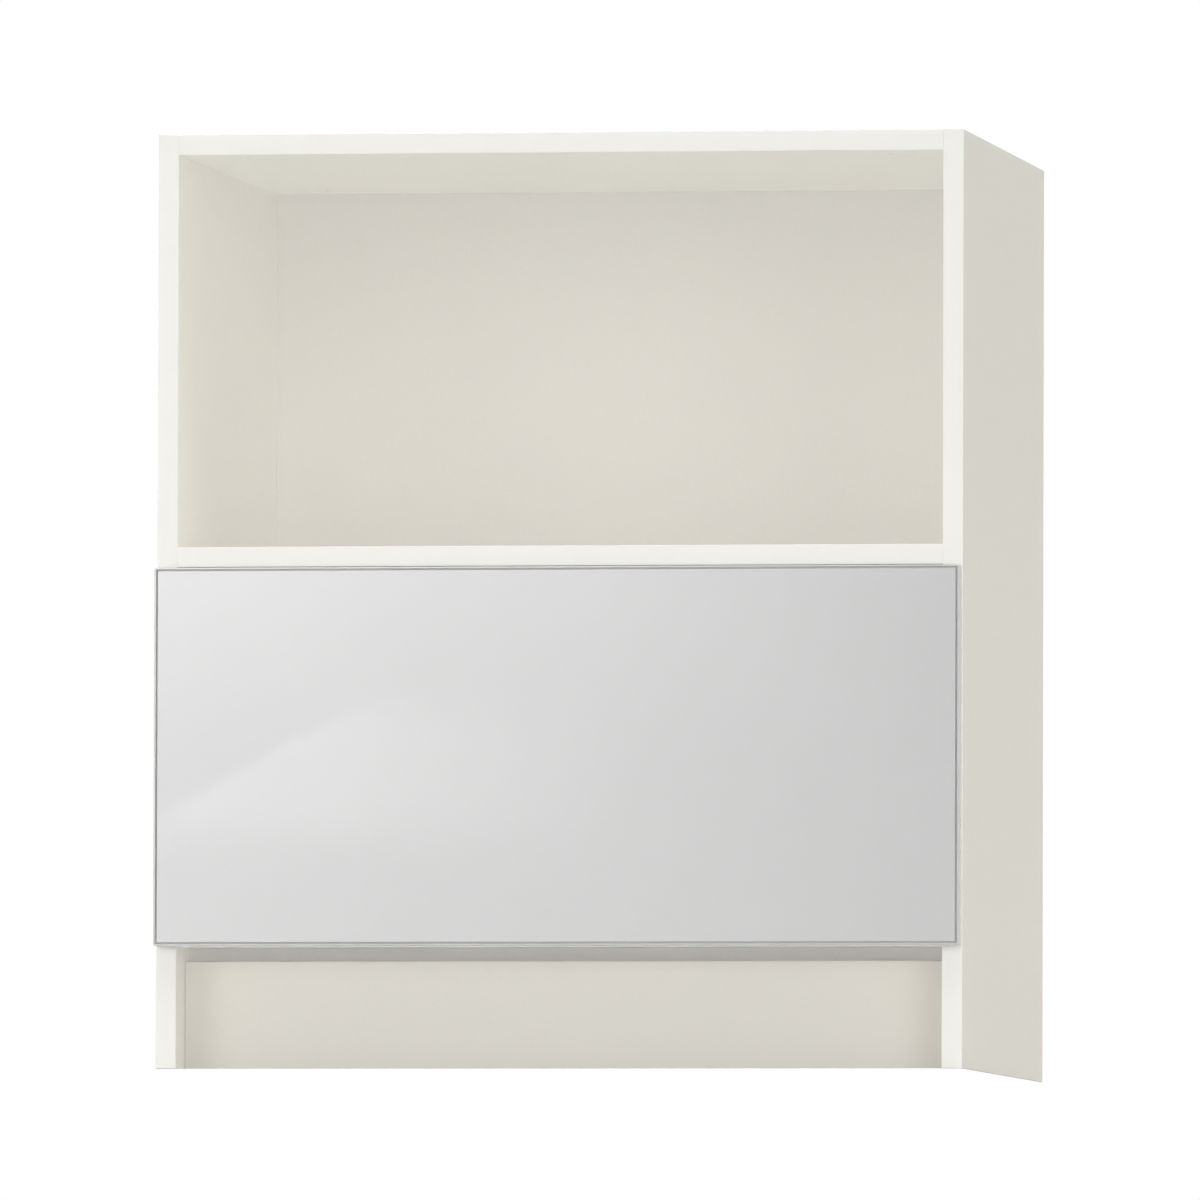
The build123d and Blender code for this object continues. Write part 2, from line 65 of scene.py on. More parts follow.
def tone(red, green, blue, k=1.0):
    """Display colour (0 to 255) as a linear colour, times k."""
    return (linear(red) * k, linear(green) * k, linear(blue) * k, 1.0)


def times(c, k):
    return (c[0] * k, c[1] * k, c[2] * k, 1.0)


class Shader:
    """A node material with one Principled shader, and short names for the nodes it is made of."""

    def __init__(self, name):
        self.mat = bpy.data.materials.new(name)
        self.mat.use_nodes = True
        self.tree = self.mat.node_tree
        self.tree.nodes.clear()
        self.out = self.add("ShaderNodeOutputMaterial")
        self.bsdf = self.add("ShaderNodeBsdfPrincipled")
        self.tree.links.new(self.bsdf.outputs["BSDF"], self.out.inputs["Surface"])
        self.place = self.add("ShaderNodeTexCoord").outputs["Object"]

    def add(self, kind, **props):
        n = self.tree.nodes.new(kind)
        for k, v in props.items():
            setattr(n, k, v)
        return n

    def put(self, socket, value):
        if isinstance(value, bpy.types.NodeSocket):
            self.tree.links.new(value, socket)
        else:
            socket.default_value = value

    def set(self, **values):
        """Principled sockets by name, with _ for spaces."""
        for k, v in values.items():
            self.put(self.bsdf.inputs[k.replace("_", " ")], v)
        return self

    def math(self, op, *args, clamp=False):
        n = self.add("ShaderNodeMath", operation=op, use_clamp=clamp)
        for i, x in enumerate(args):
            self.put(n.inputs[i], x)
        return n.outputs[0]

    def split(self, vector=None):
        n = self.add("ShaderNodeSeparateXYZ")
        self.put(n.inputs[0], vector or self.place)
        return n.outputs

    def stretched(self, x, y, z, turn=None):
        """Object coordinates in metres, scaled per axis."""
        n = self.add("ShaderNodeMapping", vector_type="POINT")
        self.put(n.inputs["Vector"], self.place)
        n.inputs["Scale"].default_value = (x, y, z)
        if turn:
            n.inputs["Rotation"].default_value = turn
        return n.outputs[0]

    def noise(self, scale, detail=2.0, rough=0.5, at=None, distortion=0.0):
        n = self.add("ShaderNodeTexNoise")
        self.put(n.inputs["Vector"], at or self.place)
        n.inputs["Scale"].default_value = scale
        n.inputs["Detail"].default_value = detail
        n.inputs["Roughness"].default_value = rough
        n.inputs["Distortion"].default_value = distortion
        return n.outputs["Fac"]

    def cells(self, scale, at=None, feature="F1"):
        n = self.add("ShaderNodeTexVoronoi", feature=feature)
        self.put(n.inputs["Vector"], at or self.place)
        n.inputs["Scale"].default_value = scale
        return n.outputs

    def ramp(self, t, *stops, mode="LINEAR"):
        n = self.add("ShaderNodeValToRGB")
        n.color_ramp.interpolation = mode
        bar = n.color_ramp.elements
        while len(bar) < len(stops):
            bar.new(0.5)
        for element, (where, colour) in zip(bar, stops):
            element.position = where
            element.color = colour if isinstance(colour, tuple) else (colour, colour, colour, 1.0)
        self.put(n.inputs[0], t)
        return n.outputs[0]

    def mix(self, t, one, two, blend="MIX"):
        n = self.add("ShaderNodeMix", data_type="RGBA", blend_type=blend)
        self.put(n.inputs[0], t)
        self.put(n.inputs[6], one)
        self.put(n.inputs[7], two)
        return n.outputs[2]

    def blend(self, t, one, two):
        """Numbers: one where t is 0, two where it is 1."""
        n = self.add("ShaderNodeMix", data_type="FLOAT")
        self.put(n.inputs[0], t)
        self.put(n.inputs[2], one)
        self.put(n.inputs[3], two)
        return n.outputs[0]

    def remap(self, v, a0, a1, b0, b1, kind="LINEAR"):
        n = self.add("ShaderNodeMapRange", interpolation_type=kind)
        self.put(n.inputs[0], v)
        for i, x in enumerate((a0, a1, b0, b1), start=1):
            n.inputs[i].default_value = x
        return n.outputs[0]

    def bump(self, height, distance, strength=1.0, on=None):
        n = self.add("ShaderNodeBump")
        self.put(n.inputs["Height"], height)
        n.inputs["Distance"].default_value = distance
        n.inputs["Strength"].default_value = strength
        if on:
            self.put(n.inputs["Normal"], on)
        return n.outputs[0]


# ------------------------------------------------------------------ the finishes
GREIGE = tone(213, 210, 201, 1.03)
BAND_WHITE = tone(240, 239, 234, 1.05)
FRONT_GREY = tone(203, 203, 203, 1.035)
RIM_GREY = tone(204, 204, 202, 1.0)
GROOVE_GREY = tone(193, 193, 191, 1.0)
BOX_WHITE = tone(226, 225, 220, 1.0)


def chipboard(s, axis, middle, half):
    """Colour and height of a sawn chipboard edge: coarse flakes in the middle layer, fine ones near the faces."""
    x, y, z = s.split()
    t = (x, y, z)[axis]
    depth = s.math("DIVIDE", s.math("ABSOLUTE", s.math("SUBTRACT", t, middle)), half)
    swirl = s.add("ShaderNodeVectorMath", operation="ADD")
    n = s.add("ShaderNodeTexNoise")
    n.inputs["Scale"].default_value = 320.0
    s.put(n.inputs["Vector"], s.place)
    push = s.add("ShaderNodeVectorMath", operation="SCALE")
    s.put(push.inputs[0], n.outputs["Color"])
    push.inputs["Scale"].default_value = 0.0013
    s.put(swirl.inputs[0], s.place)
    s.put(swirl.inputs[1], push.outputs[0])
    warped = swirl.outputs[0]
    flat = s.add("ShaderNodeMapping", vector_type="POINT")
    s.put(flat.inputs["Vector"], warped)
    flat.inputs["Scale"].default_value = tuple(2.3 if i == axis else 0.6 for i in range(3))
    large = s.cells(500.0, flat.outputs[0])
    small = s.cells(1150.0, flat.outputs[0])
    fine = s.cells(2300.0, flat.outputs[0])
    gap = s.cells(500.0, flat.outputs[0], "DISTANCE_TO_EDGE")[0]
    chips = s.remap(s.noise(260.0, 2.0), 0.47, 0.53, 0.0, 1.0)
    tint_a = s.ramp(
        s.blend(chips, s.split(small["Color"])[0], s.split(large["Color"])[0]),
        (0.0, tone(120, 90, 62)), (0.16, tone(160, 129, 94)), (0.5, tone(184, 155, 118)), (0.82, tone(201, 175, 139)), (1.0, tone(218, 196, 163)),
    )
    tint_b = s.ramp(s.split(fine["Color"])[1], (0.0, tone(150, 121, 89)), (0.5, tone(180, 152, 117)), (1.0, tone(200, 175, 141)))
    layer = s.remap(depth, 0.52, 0.72, 0.0, 1.0, "SMOOTHSTEP")
    tint = s.mix(layer, tint_a, tint_b)
    pit = s.math("MAXIMUM", s.remap(gap, 0.0, 0.06, 0.4, 1.0), s.math("SUBTRACT", 1.0, chips))
    tint = s.mix(s.blend(layer, pit, 1.0), times(tone(96, 72, 50), 0.8), tint)
    height = s.math("MULTIPLY", s.blend(layer, s.remap(gap, 0.0, 0.2, 0.0, 1.0), s.remap(fine[0], 0.0, 0.6, 0.7, 1.0)), s.remap(s.noise(1500.0, 3.0), 0.2, 0.8, 0.6, 1.0))
    return tint, height


def faced_board(node, axis, face=GREIGE, gloss=0.42, banded=None, band=BAND_WHITE, rear_raw=None):
    """Melamine-faced chipboard. axis is the board's thickness: what lies on its two faces is decor, and sawn edges, bores and grooves show chipboard.
    banded is (axis, above) for an edge that carries a strip, and rear_raw is a colour pair for a face that has no decor, at the high side of axis."""
    low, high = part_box(node)
    middle, half = (low[axis] + high[axis]) / 2, (high[axis] - low[axis]) / 2
    s = Shader(node + "_board")
    x, y, z = s.split()
    t = (x, y, z)[axis]
    off = s.math("ABSOLUTE", s.math("SUBTRACT", t, middle))
    skin = s.math("GREATER_THAN", off, half - 0.00016)

    # decor: an even tone with a very fine pearl print, a slow drift over the sheet and a soft pearl press
    pearl = s.noise(620.0, 3.0, 0.6)
    drift = s.noise(5.5, 2.0, 0.5)
    fleck = s.remap(s.noise(2600.0, 1.0), 0.62, 0.8, 0.0, 1.0)
    decor = s.mix(s.remap(pearl, 0.3, 0.7, 0.0, 1.0), times(face, 0.972), times(face, 1.018))
    decor = s.mix(s.remap(drift, 0.3, 0.7, 0.0, 0.5), decor, times(face, 0.99))
    decor = s.mix(s.math("MULTIPLY", fleck, 0.12), decor, times(face, 0.9))
    press = s.math("ADD", s.math("MULTIPLY", s.noise(900.0, 2.0, 0.55), 0.7), s.math("MULTIPLY", s.noise(240.0, 2.0), 0.3))
    shine = s.remap(s.noise(300.0, 3.0), 0.3, 0.7, gloss - 0.035, gloss + 0.035)

    core_tint, core_height = chipboard(s, axis, middle, half)
    colour = s.mix(skin, core_tint, decor)
    rough = s.blend(skin, 0.86, shine)
    relief = s.blend(skin, s.math("MULTIPLY", core_height, 0.00045), s.math("MULTIPLY", press, 0.00005))
    if banded:
        which, above = banded
        strip = s.math("GREATER_THAN", (x, y, z)[which], above)
        colour = s.mix(strip, colour, band)
        rough = s.blend(strip, rough, 0.36)
        relief = s.blend(strip, relief, s.math("MULTIPLY", press, 0.00002))
    if rear_raw:
        behind = s.math("GREATER_THAN", t, middle + half - 0.0008)
        fibre = s.noise(1.0, 4.0, 0.65, s.stretched(150.0, 150.0, 620.0), 0.8)
        mesh = s.math("MULTIPLY", s.math("SINE", s.math("MULTIPLY", x, 2600.0)), s.math("SINE", s.math("MULTIPLY", z, 2600.0)))
        raw = s.mix(s.remap(fibre, 0.3, 0.7, 0.0, 1.0), *rear_raw)
        raw = s.mix(s.remap(mesh, -1.0, 1.0, 0.0, 0.25), raw, times(rear_raw[0], 0.8))
        raw = s.mix(s.remap(s.noise(14.0, 3.0), 0.35, 0.7, 0.0, 0.3), raw, times(rear_raw[0], 0.9))
        colour = s.mix(behind, colour, raw)
        rough = s.blend(behind, rough, 0.78)
        relief = s.blend(behind, relief, s.math("MULTIPLY", s.math("ADD", fibre, s.math("MULTIPLY", mesh, 0.4)), 0.0002))
    s.set(Base_Color=colour, Roughness=rough, Normal=s.bump(relief, 1.0), IOR=1.5)
    return s.mat


def edge_strip(name, colour, along, gloss=0.44):
    """Edge band: extruded plastic, evenly coloured, with faint draw lines along its length."""
    s = Shader(name)
    scale = [900.0, 900.0, 900.0]
    scale[along] = 7.0
    lines = s.noise(1.0, 3.0, 0.6, s.stretched(*scale))
    grain = s.noise(1400.0, 2.0)
    tint = s.mix(s.remap(lines, 0.3, 0.7, 0.0, 1.0), times(colour, 0.99), times(colour, 1.006))
    tint = s.mix(s.remap(s.noise(9.0, 2.0), 0.3, 0.7, 0.0, 0.4), tint, times(colour, 0.992))
    s.set(
        Base_Color=tint,
        Roughness=s.remap(lines, 0.3, 0.7, gloss - 0.03, gloss + 0.05),
        Normal=s.bump(s.math("ADD", s.math("MULTIPLY", lines, 0.6), s.math("MULTIPLY", grain, 0.4)), 0.00003),
        IOR=1.5,
    )
    return s.mat


def gloss_sheet(name, colour, base_rough=0.34, film=0.015):
    """High-gloss front: an even grey under a clear film that lies almost, but not quite, flat."""
    s = Shader(name)
    pearl = s.noise(1100.0, 2.0)
    drift = s.noise(4.0, 2.0)
    tint = s.mix(s.remap(pearl, 0.3, 0.7, 0.0, 1.0), times(colour, 0.994), times(colour, 1.004))
    tint = s.mix(s.remap(drift, 0.3, 0.7, 0.0, 0.5), tint, times(colour, 0.993))
    peel = s.math("ADD", s.math("MULTIPLY", s.noise(95.0, 2.0, 0.45), 0.65), s.math("MULTIPLY", s.noise(16.0, 1.0), 0.35))
    wave = s.bump(peel, 0.00001)
    s.set(Base_Color=tint, Roughness=s.remap(s.noise(700.0, 2.0), 0.3, 0.7, base_rough - 0.03, base_rough + 0.03), Normal=wave, IOR=1.5)
    s.set(Coat_Weight=1.0, Coat_Roughness=film, Coat_IOR=1.5, Coat_Normal=wave)
    return s.mat


def steel(name, colour, along=None, gloss=0.32):
    """Plated sheet steel, with rolling streaks along one axis."""
    s = Shader(name)
    scale = [1500.0, 1500.0, 1500.0]
    if along is not None:
        scale[along] = 14.0
    streaks = s.noise(1.0, 1.0, 0.5, s.stretched(*scale))
    bloom = s.noise(75.0, 4.0, 0.6)
    tint = s.mix(s.remap(bloom, 0.35, 0.7, 0.0, 1.0), times(colour, 0.93), times(colour, 1.05))
    tint = s.mix(s.remap(streaks, 0.3, 0.7, 0.0, 0.35), tint, times(colour, 0.87))
    rough = s.math("ADD", s.remap(streaks, 0.3, 0.7, gloss - 0.03, gloss + 0.04), s.remap(bloom, 0.3, 0.7, -0.03, 0.05))
    s.set(Base_Color=tint, Metallic=1.0, Roughness=rough, Normal=s.bump(streaks, 0.000006))
    return s.mat


def cast_zinc(name, colour):
    """Die-cast cam: a dull skin with flow marks and small pits."""
    s = Shader(name)
    flow = s.noise(420.0, 4.0, 0.6, distortion=0.6)
    pits = s.remap(s.cells(1500.0)[0], 0.0, 0.18, 0.0, 1.0)
    tint = s.mix(s.remap(flow, 0.3, 0.7, 0.0, 1.0), times(colour, 0.82), times(colour, 1.06))
    tint = s.mix(pits, times(colour, 0.6), tint)
    s.set(Base_Color=tint, Metallic=1.0, Roughness=s.remap(flow, 0.3, 0.7, 0.4, 0.56), Normal=s.bump(s.math("MULTIPLY", pits, s.remap(flow, 0.2, 0.8, 0.6, 1.0)), 0.00005))
    return s.mat


def plated_screw(name, colour):
    s = Shader(name)
    cloud = s.noise(900.0, 3.0, 0.6)
    wear = s.remap(s.noise(2600.0, 2.0), 0.55, 0.75, 0.0, 1.0)
    tint = s.mix(s.remap(cloud, 0.3, 0.7, 0.0, 1.0), times(colour, 0.88), times(colour, 1.05))
    tint = s.mix(s.math("MULTIPLY", wear, 0.3), tint, times(colour, 0.7))
    s.set(Base_Color=tint, Metallic=1.0, Roughness=s.remap(cloud, 0.3, 0.7, 0.24, 0.36), Normal=s.bump(cloud, 0.00002))
    return s.mat


def bright_ball(name):
    s = Shader(name)
    haze = s.noise(1800.0, 3.0, 0.6)
    tint = s.mix(s.remap(haze, 0.35, 0.7, 0.0, 1.0), (0.64, 0.65, 0.66, 1.0), (0.76, 0.77, 0.78, 1.0))
    s.set(Base_Color=tint, Metallic=1.0, Roughness=s.remap(haze, 0.3, 0.7, 0.06, 0.16), Normal=s.bump(haze, 0.000004))
    return s.mat


def moulded(name, colour, gloss=0.48, texture=1500.0, depth=0.00006):
    """Moulded plastic with a fine eroded texture."""
    s = Shader(name)
    cloud = s.noise(texture, 3.0, 0.55)
    cell = s.cells(texture * 1.6)[0]
    tint = s.mix(s.remap(cloud, 0.3, 0.7, 0.0, 1.0), times(colour, 0.86), times(colour, 1.16))
    s.set(Base_Color=tint, Roughness=s.remap(cloud, 0.3, 0.7, gloss - 0.05, gloss + 0.07), Normal=s.bump(s.math("ADD", cloud, s.math("MULTIPLY", cell, 0.5)), depth), IOR=1.49)
    return s.mat


def beech(name):
    """Fluted beech dowel: straight grain along X with short dark flecks."""
    s = Shader(name)
    grain = s.noise(1.0, 4.0, 0.6, s.stretched(40.0, 900.0, 900.0), 0.3)
    fleck = s.remap(s.noise(1.0, 2.0, 0.5, s.stretched(420.0, 2400.0, 2400.0)), 0.6, 0.72, 0.0, 1.0)
    tint = s.mix(s.remap(grain, 0.3, 0.7, 0.0, 1.0), tone(196, 160, 118), tone(224, 194, 154))
    tint = s.mix(s.math("MULTIPLY", fleck, 0.6), tint, tone(164, 122, 82))
    s.set(Base_Color=tint, Roughness=s.remap(grain, 0.3, 0.7, 0.6, 0.74), Normal=s.bump(grain, 0.00012))
    return s.mat


def dyed_fibreboard(name, colour):
    """Grey fibreboard, as it shows in the fine groove of the drawer front."""
    s = Shader(name)
    fibre = s.noise(1.0, 4.0, 0.65, s.stretched(700.0, 1500.0, 700.0), 0.5)
    tint = s.mix(s.remap(fibre, 0.3, 0.7, 0.0, 1.0), times(colour, 0.93), times(colour, 1.05))
    s.set(Base_Color=tint, Roughness=s.remap(fibre, 0.3, 0.7, 0.5, 0.62), Normal=s.bump(fibre, 0.00005))
    return s.mat


def silicone(name):
    """Clear soft bumper, a little cloudy."""
    s = Shader(name)
    cloud = s.noise(500.0, 3.0)
    tint = s.mix(s.remap(cloud, 0.3, 0.7, 0.0, 1.0), (0.82, 0.83, 0.82, 1.0), (0.93, 0.94, 0.93, 1.0))
    s.set(Base_Color=tint, Roughness=s.remap(cloud, 0.3, 0.7, 0.2, 0.3), Normal=s.bump(cloud, 0.00004), IOR=1.41, Transmission_Weight=0.55)
    return s.mat


def dress(material, *names):
    for n in names:
        o = nodes[n]
        if not o.material_slots:
            o.data.materials.append(material)
        for slot in o.material_slots:
            slot.material = material


HARDBOARD = (tone(128, 92, 62), tone(160, 122, 86))

# carcass boards; axis 0 is X, 1 is Y, 2 is Z
for node, axis in (("side_panel_left", 0), ("side_panel_right", 0), ("top_panel", 2), ("niche_shelf", 2), ("bottom_panel", 2), ("rear_rail_top", 1), ("rear_rail_middle", 1), ("kick_rail", 1)):
    dress(faced_board(node, axis), node)
dress(faced_board("back_panel", 1, gloss=0.46, rear_raw=HARDBOARD), "back_panel")
# the kick board's top edge carries a greige strip, painted 4% lighter than the decor as a painted highlight along its
# rounded top arris
dress(faced_board("kick_board", 1, banded=(2, 0.1006), band=times(GREIGE, 1.04)), "kick_board")

for node, along in (("side_edge_band_left", 2), ("side_edge_band_right", 2), ("top_edge_band", 0), ("shelf_edge_band", 0), ("bottom_edge_band", 0)):
    dress(edge_strip(node + "_strip", BAND_WHITE, along), node)

# drawer
for node, axis in (("drawer_side_left", 0), ("drawer_side_right", 0), ("drawer_box_front", 1), ("drawer_box_back", 1), ("drawer_bottom", 2)):
    dress(faced_board(node, axis, face=BOX_WHITE, gloss=0.4), node)
dress(edge_strip("drawer_box_strip", times(BOX_WHITE, 1.01), 1), "drawer_edge_bands")
dress(gloss_sheet("front_face_gloss", FRONT_GREY), "drawer_front_face")
dress(gloss_sheet("front_rim_gloss", RIM_GREY, film=0.06), "drawer_front_edging")
dress(dyed_fibreboard("front_core_board", GROOVE_GREY), "drawer_front_core")
dress(faced_board("drawer_front_liner", 1, face=tone(218, 218, 217), gloss=0.38), "drawer_front_liner")
dress(silicone("bumper_silicone_clear"), "drawer_bumpers")

# slides, levers and fasteners
ZINC = (0.7, 0.71, 0.72, 1.0)
for side in ("left", "right"):
    dress(steel("slide_outer_zinc_" + side, ZINC, along=1), "slide_outer_" + side)
    dress(steel("slide_mid_zinc_" + side, times(ZINC, 0.97), along=1, gloss=0.3), "slide_mid_" + side)
    dress(steel("slide_inner_zinc_" + side, times(ZINC, 1.02), along=1, gloss=0.34), "slide_inner_" + side)
    dress(steel("cage_steel_" + side, (0.56, 0.56, 0.57, 1.0), along=1, gloss=0.36), "ball_cage_outer_" + side, "ball_cage_inner_" + side)
dress(bright_ball("ball_chrome"), "balls_outer_left", "balls_outer_right", "balls_inner_left", "balls_inner_right")
dress(moulded("lever_plastic_black", (0.022, 0.022, 0.023, 1.0)), "release_lever_left", "release_lever_right")
dress(steel("rivet_steel", (0.7, 0.7, 0.71, 1.0), gloss=0.24), "lever_rivets")
dress(plated_screw("screw_plating", (0.76, 0.755, 0.73, 1.0)), "slide_screws_cabinet", "slide_screws_drawer", "front_fixing_screws", "kick_screws", "cam_bolts")
dress(cast_zinc("cam_cast_zinc", (0.66, 0.665, 0.675, 1.0)), "cam_locks")
dress(beech("dowel_beech"), "carcass_dowels", "drawer_dowels")


# ------------------------------------------------------------------ floor
def flat_mesh(name, corners_or_radius, height):
    mesh = bpy.data.meshes.new(name)
    bm = bmesh.new()
    if isinstance(corners_or_radius, (int, float)):
        bmesh.ops.create_circle(bm, cap_ends=True, segments=96, radius=corners_or_radius)
        for v in bm.verts:
            v.co.z = height
    bm.to_mesh(mesh)
    bm.free()
    o = bpy.data.objects.new(name, mesh)
    scene.collection.objects.link(o)
    return o


FOOT = (0.381, -0.28415, 0.3048)     # half width, front and rear of what stands on the floor
FLOOR_TONE, FLOOR_BOUNCE = 0.93, 0.6     # as the camera sees it, and as it lights what stands on it

floor = flat_mesh("floor", 9.0, -0.0003)
s = Shader("floor_pale")
s.tree.nodes.remove(s.bsdf)
x, y, z = s.split()
far = s.add("ShaderNodeVectorMath", operation="LENGTH")
s.put(far.inputs[0], s.place)
grain = s.noise(260.0, 3.0)
pale = s.mix(s.remap(grain, 0.3, 0.7, 0.0, 1.0), (FLOOR_TONE * 0.992,) * 3 + (1.0,), (FLOOR_TONE,) * 3 + (1.0,))
above = s.add("ShaderNodeBsdfDiffuse")
seen_by = s.add("ShaderNodeLightPath")
s.put(above.inputs["Color"], s.mix(seen_by.outputs["Is Camera Ray"], times((FLOOR_BOUNCE, FLOOR_BOUNCE, FLOOR_BOUNCE), 1.0), pale))
clear = s.add("ShaderNodeBsdfTransparent")
plain = s.add("ShaderNodeEmission")
plain.inputs["Color"].default_value = (1.0, 1.0, 1.0, 1.0)
top_side = s.add("ShaderNodeMixShader")
s.put(top_side.inputs[0], s.remap(far.outputs["Value"], 1.1, 4.5, 0.0, 1.0, "SMOOTHSTEP"))
s.put(top_side.inputs[1], above.outputs[0])
s.put(top_side.inputs[2], clear.outputs[0])
inside = s.math("LESS_THAN", s.math("ABSOLUTE", x), FOOT[0])
inside = s.math("MULTIPLY", inside, s.math("GREATER_THAN", y, FOOT[1]))
inside = s.math("MULTIPLY", inside, s.math("LESS_THAN", y, FOOT[2]))
under = s.add("ShaderNodeMixShader")
s.put(under.inputs[0], inside)
s.put(under.inputs[1], clear.outputs[0])
s.put(under.inputs[2], plain.outputs[0])
whole = s.add("ShaderNodeMixShader")
s.put(whole.inputs[0], s.add("ShaderNodeNewGeometry").outputs["Backfacing"])
s.put(whole.inputs[1], top_side.outputs[0])
s.put(whole.inputs[2], under.outputs[0])
s.put(s.out.inputs["Surface"], whole.outputs[0])
s.mat.cycles.emission_sampling = "NONE"
floor.data.materials.append(s.mat)
floor.visible_shadow = False


# ------------------------------------------------------------------ reflector card
# It stands in front, to the left, where the gloss front mirrors it for the camera: bright at the
# upper left, fading to the right and down, with one soft slanting edge.
CARD_FAR = 3.0
CARD_GAIN = 4.87


def card():
    y0 = -0.3048 - CARD_FAR
    mesh = bpy.data.meshes.new("reflector_card")
    mesh.from_pydata([(-2.2, y0, -0.6), (0.9, y0, -0.6), (0.9, y0, 1.5), (-2.2, y0, 1.5)], [], [(0, 3, 2, 1)])
    o = bpy.data.objects.new("reflector_card", mesh)
    scene.collection.objects.link(o)
    o.visible_camera = False
    o.visible_diffuse = False
    o.visible_shadow = False
    o.visible_transmission = False
    s = Shader("card_light")
    s.tree.nodes.remove(s.bsdf)
    cx, cy, cz = s.split()
    # u and w: the place on the drawer front, in metres, that mirrors this point of the card
    k = CARD_FAR / 18.81
    u = s.math("DIVIDE", s.math("ADD", cx, 2.88 * k), 1.0 + k)
    w = s.math("DIVIDE", s.math("SUBTRACT", cz, 0.434 * k), 1.0 + k)
    across = s.ramp(
        s.remap(u, -0.42, 0.42, 0.0, 1.0),
        (0.0, 1.03), (0.12, 0.9), (0.25, 0.79), (0.31, 0.71), (0.55, 0.54), (0.78, 0.25), (0.93, 0.045), (1.0, 0.0),
    )
    upright = s.ramp(s.remap(w, 0.1, 0.48, 0.0, 1.0), (0.0, 0.46), (0.48, 0.55), (0.65, 0.7), (1.0, 1.03))
    # slanting edge, with a glow under it that fades downward and to the right
    edge = s.math("MINIMUM", s.math("ADD", s.math("MULTIPLY", s.math("ADD", u, 0.375), 0.56), 0.2385), 0.352)
    under_edge = s.math("DIVIDE", s.math("SUBTRACT", edge, w), s.remap(u, -0.24, -0.05, 0.009, 0.07))
    wedge = s.math("MULTIPLY", s.remap(under_edge, -0.3, 1.0, 0.0, 1.0, "SMOOTHSTEP"), s.remap(w, 0.185, 0.255, 0.0, 1.0, "SMOOTHSTEP"))
    wedge = s.math("MULTIPLY", wedge, s.ramp(s.remap(u, -0.42, 0.42, 0.0, 1.0), (0.0, 0.31), (0.28, 0.27), (0.44, 0.14), (0.6, 0.0)))
    total = s.math("ADD", s.math("MULTIPLY", across, upright), wedge)
    glow = s.add("ShaderNodeEmission")
    glow.inputs["Color"].default_value = (1.0, 1.0, 1.0, 1.0)
    s.put(glow.inputs["Strength"], s.math("MULTIPLY", total, CARD_GAIN))
    s.put(s.out.inputs["Surface"], glow.outputs[0])
    s.mat.cycles.emission_sampling = "NONE"
    mesh.materials.append(s.mat)
    return o


card()


# ------------------------------------------------------------------ light
def toward(azimuth, elevation):
    a, e = math.radians(azimuth), math.radians(elevation)
    return Vector((math.sin(a) * math.cos(e), -math.cos(a) * math.cos(e), math.sin(e)))


def sun(name, azimuth, elevation, softness, strength, on=None, off=None, shadows=True):
    """Distant soft light. At strength 1 a white face that looks straight at it shows as white; strength may be given per colour.
    on lists the only nodes that it lights, or off the nodes that it leaves out."""
    rgb = strength if isinstance(strength, tuple) else (strength,) * 3
    strength = max(rgb)
    data = bpy.data.lights.new(name, "SUN")
    data.energy = math.pi * strength
    data.color = [v / strength for v in rgb]
    data.angle = math.radians(softness)
    data.use_shadow = shadows
    data.cycles.use_multiple_importance_sampling = False
    o = bpy.data.objects.new(name, data)
    scene.collection.objects.link(o)
    o.rotation_mode = "QUATERNION"
    o.rotation_quaternion = toward(azimuth, elevation).to_track_quat("Z", "Y")
    o.visible_camera = False
    o.visible_glossy = False
    if on or off:
        lit = bpy.data.collections.new("lit_by_" + name)
        for n in on or [n for n in nodes if n not in off]:
            lit.objects.link(nodes[n])
        if off:
            lit.objects.link(floor)
        o.light_linking.receiver_collection = lit
    return o


GAP = ("kick_rail", "bottom_panel", "bottom_edge_band")     # what shows in the shadow gap above the kick board
WORLD = 0.35

sun("light_front_left", -32.0, 4.0, 30.0, 0.203, off=GAP)
sun("light_front_right", 32.0, 4.0, 30.0, 0.243, off=GAP)
sun("light_right", 95.0, 8.0, 40.0, (0.315, 0.312, 0.294))
sun("light_left", -95.0, 8.0, 40.0, 0.28)
sun("light_rear", 180.0, 15.0, 50.0, 0.42)
sun("light_top", 20.0, 80.0, 50.0, 0.5)
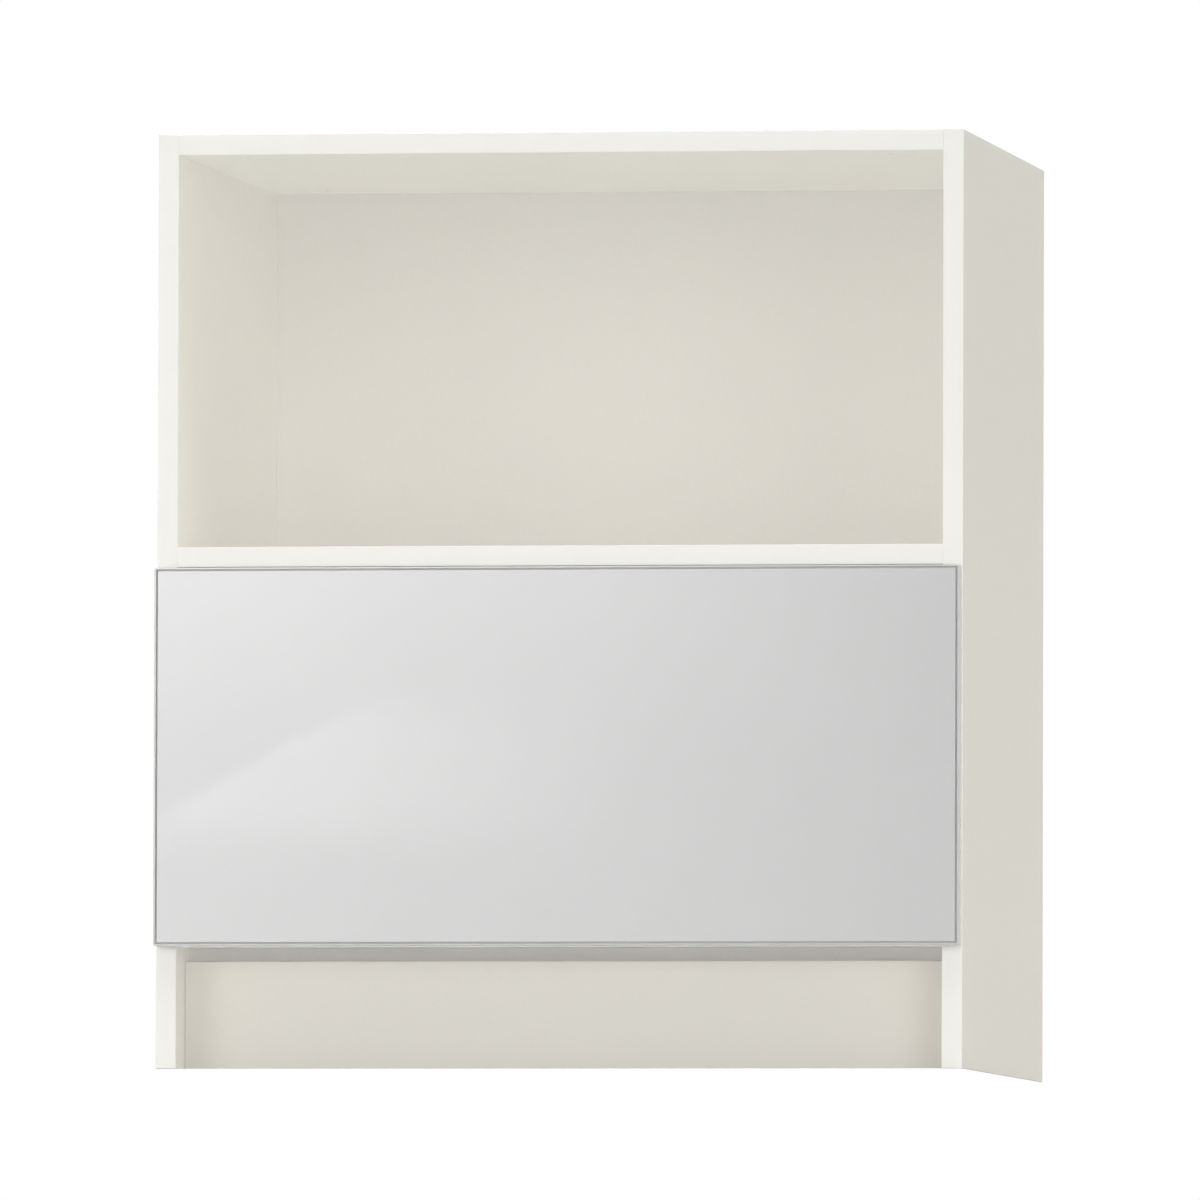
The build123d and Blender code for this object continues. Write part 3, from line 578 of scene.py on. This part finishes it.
# even, slightly cool fill for the surfaces that look into the niche, and for the gap
sun("fill_wall_left", 90.0, 0.0, 10.0, (0.3, 0.307, 0.333), on=("side_panel_left",), shadows=False)
sun("fill_wall_right", -90.0, 0.0, 10.0, (0.287, 0.295, 0.32), on=("side_panel_right",), shadows=False)
sun("fill_ceiling", 0.0, -90.0, 10.0, (0.397, 0.416, 0.455), on=("top_panel",), shadows=False)
sun("fill_shelf", 0.0, 90.0, 10.0, (0.24, 0.247, 0.272), on=("niche_shelf",), shadows=False)
sun("fill_back", 0.0, 0.0, 10.0, (0.246, 0.257, 0.3), on=("back_panel",), shadows=False)
sun("fill_kick", 0.0, 0.0, 10.0, (0.17, 0.17, 0.177), on=("kick_board",), shadows=False)
sun("fill_gap", 0.0, -30.0, 10.0, (0.318, 0.325, 0.37), on=GAP, shadows=False)

world = bpy.data.worlds.new("world")
scene.world = world
world.use_nodes = True
wt = world.node_tree
wt.nodes.clear()
out = wt.nodes.new("ShaderNodeOutputWorld")
seen = wt.nodes.new("ShaderNodeBackground")
seen.inputs["Color"].default_value = (1.0, 1.0, 1.0, 1.0)
seen.inputs["Strength"].default_value = 1.0
lit = wt.nodes.new("ShaderNodeBackground")
lit.inputs["Color"].default_value = (1.0, 1.0, 1.0, 1.0)
lit.inputs["Strength"].default_value = WORLD
mirrored = wt.nodes.new("ShaderNodeBackground")
mirrored.inputs["Color"].default_value = (1.0, 1.0, 1.0, 1.0)
way = wt.nodes.new("ShaderNodeTexCoord")
parts = wt.nodes.new("ShaderNodeSeparateXYZ")
wt.links.new(way.outputs["Generated"], parts.inputs[0])
height = wt.nodes.new("ShaderNodeMapRange")
for i, v in enumerate((-0.1, 0.8, 0.45, 1.15), start=1):
    height.inputs[i].default_value = v
wt.links.new(parts.outputs[2], height.inputs[0])
wt.links.new(height.outputs[0], mirrored.inputs["Strength"])
path = wt.nodes.new("ShaderNodeLightPath")
gloss = wt.nodes.new("ShaderNodeMixShader")
wt.links.new(path.outputs["Is Glossy Ray"], gloss.inputs[0])
wt.links.new(lit.outputs[0], gloss.inputs[1])
wt.links.new(mirrored.outputs[0], gloss.inputs[2])
either = wt.nodes.new("ShaderNodeMixShader")
wt.links.new(path.outputs["Is Camera Ray"], either.inputs[0])
wt.links.new(gloss.outputs[0], either.inputs[1])
wt.links.new(seen.outputs[0], either.inputs[2])
wt.links.new(either.outputs[0], out.inputs["Surface"])

scene.cycles.use_light_tree = False     # with lights that are linked to some pieces, the tree's picks differ from run to run
scene.view_settings.view_transform = "Standard"
scene.view_settings.look = "None"
scene.view_settings.exposure = 0.0
scene.view_settings.gamma = 1.0
